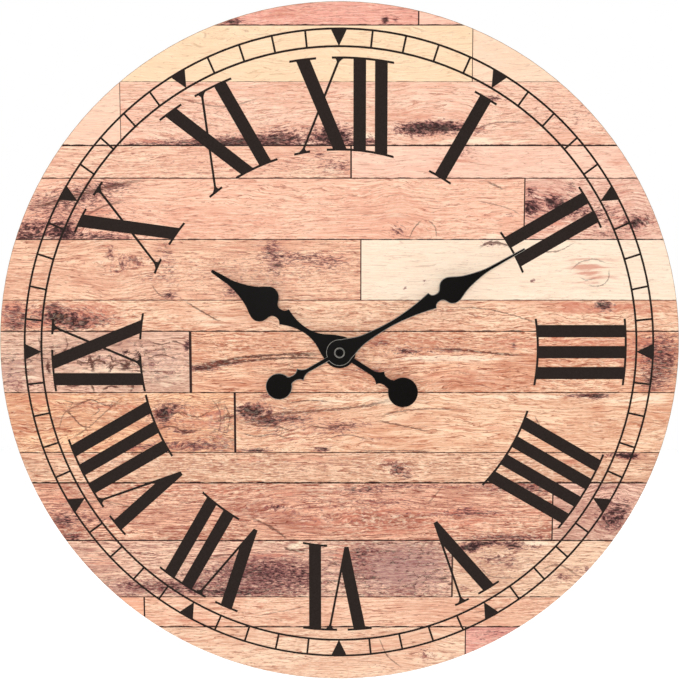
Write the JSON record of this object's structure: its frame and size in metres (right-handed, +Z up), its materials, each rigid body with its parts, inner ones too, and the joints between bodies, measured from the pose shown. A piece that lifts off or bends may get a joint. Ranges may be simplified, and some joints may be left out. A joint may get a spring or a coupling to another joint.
{
  "type": "round wall clock",
  "caption": "Frameless round board wall clock with a printed plank face, Roman numerals, black spade hands and a battery quartz movement behind it.",
  "frame": {"origin": "where the wall nail carries the hanger, in the wall plane", "axes": "+Z up, +Y into the wall, +X to the right of someone facing the dial"},
  "size_m": [0.3048, 0.0326, 0.3048],
  "materials": {
    "board": "raw fibreboard",
    "print": "satin printed plank pattern",
    "ink": "matt dark print",
    "hand_black": "satin black",
    "brass": "satin",
    "steel": "zinc plated",
    "rubber": "matt",
    "case_plastic": "fine texture",
    "gear_plastic": "natural acetal",
    "knob_plastic": "smooth",
    "magnet": "sintered",
    "iron": "soft iron sheet",
    "copper": "enamelled copper wire",
    "board_green": "solder mask",
    "resin": "potting resin",
    "cell_steel": "nickel plated",
    "sleeve": "plain printed film"
  },
  "bodies": {
    "clock": {"dial_board": "board", "face_print": "print", "numerals": "ink", "minute_track": "ink", "dial_washer": "brass", "mounting_nut": "brass", "rubber_gasket": "rubber", "hanger": "steel", "case_front": "case_plastic", "case_back": "case_plastic", "train_plate": "gear_plastic", "stator": "iron", "coil_core": "iron", "coil_bobbin": "gear_plastic", "coil_winding": "copper", "circuit_board": "board_green", "driver_chip": "resin", "quartz_crystal": "cell_steel", "contact_positive": "steel", "contact_negative": "steel"},
    "minute_body": {"minute_hand": "hand_black", "minute_hand_bush": "brass", "hand_nut": "hand_black", "minute_arbor": "hand_black", "centre_wheel": "gear_plastic"},
    "hour_body": {"hour_hand": "hand_black", "hour_hand_bush": "brass", "hour_wheel": "gear_plastic"},
    "reverse_body": {"reverse_wheel": "gear_plastic"},
    "setting_body": {"setting_knob": "knob_plastic", "setting_pinion": "gear_plastic"},
    "third_body": {"third_wheel": "gear_plastic"},
    "second_body": {"second_wheel": "gear_plastic"},
    "fifth_body": {"fifth_wheel": "gear_plastic"},
    "rotor_body": {"rotor_pinion": "gear_plastic", "rotor_magnet": "magnet"},
    "battery": {"battery_can": "cell_steel", "battery_sleeve": "sleeve", "battery_button": "cell_steel"}
  },
  "joints": [
    {"name": "minute_hand_turn", "type": "hinge", "parent": "clock", "child": "minute_body", "pos_m": [0, 0, -0.0455], "axis": [0, 1, 0], "continuous": true},
    {"name": "hour_hand_turn", "type": "hinge", "parent": "clock", "child": "hour_body", "pos_m": [0, 0, -0.0455], "axis": [0, 1, 0], "continuous": true},
    {"name": "reverse_wheel_turn", "type": "hinge", "parent": "clock", "child": "reverse_body", "pos_m": [0.00611, 0, -0.03939], "axis": [0, 1, 0], "continuous": true},
    {"name": "setting_knob_turn", "type": "hinge", "parent": "clock", "child": "setting_body", "pos_m": [0.01437, 0, -0.03686], "axis": [0, 1, 0], "continuous": true},
    {"name": "third_wheel_turn", "type": "hinge", "parent": "clock", "child": "third_body", "pos_m": [-0.00764, 0, -0.03786], "axis": [0, 1, 0], "continuous": true},
    {"name": "second_wheel_turn", "type": "hinge", "parent": "clock", "child": "second_body", "pos_m": [0, 0, -0.0455], "axis": [0, 1, 0], "continuous": true},
    {"name": "fifth_wheel_turn", "type": "hinge", "parent": "clock", "child": "fifth_body", "pos_m": [0.003, 0, -0.03544], "axis": [0, 1, 0], "continuous": true},
    {"name": "rotor_turn", "type": "hinge", "parent": "clock", "child": "rotor_body", "pos_m": [0.0072, 0, -0.02816], "axis": [0, 1, 0], "continuous": true},
    {"name": "battery_slide", "type": "slide", "parent": "clock", "child": "battery", "axis": [0, 1, 0], "range_m": [0, 0.03]}
  ],
  "couplings": [
    {"joint": "hour_hand_turn", "follows": "minute_hand_turn", "ratio": 0.083333},
    {"joint": "reverse_wheel_turn", "follows": "minute_hand_turn", "ratio": -0.33333},
    {"joint": "setting_knob_turn", "follows": "minute_hand_turn", "ratio": 1},
    {"joint": "third_wheel_turn", "follows": "minute_hand_turn", "ratio": -8},
    {"joint": "second_wheel_turn", "follows": "minute_hand_turn", "ratio": 60},
    {"joint": "fifth_wheel_turn", "follows": "minute_hand_turn", "ratio": -360},
    {"joint": "rotor_turn", "follows": "minute_hand_turn", "ratio": 1800}
  ]
}
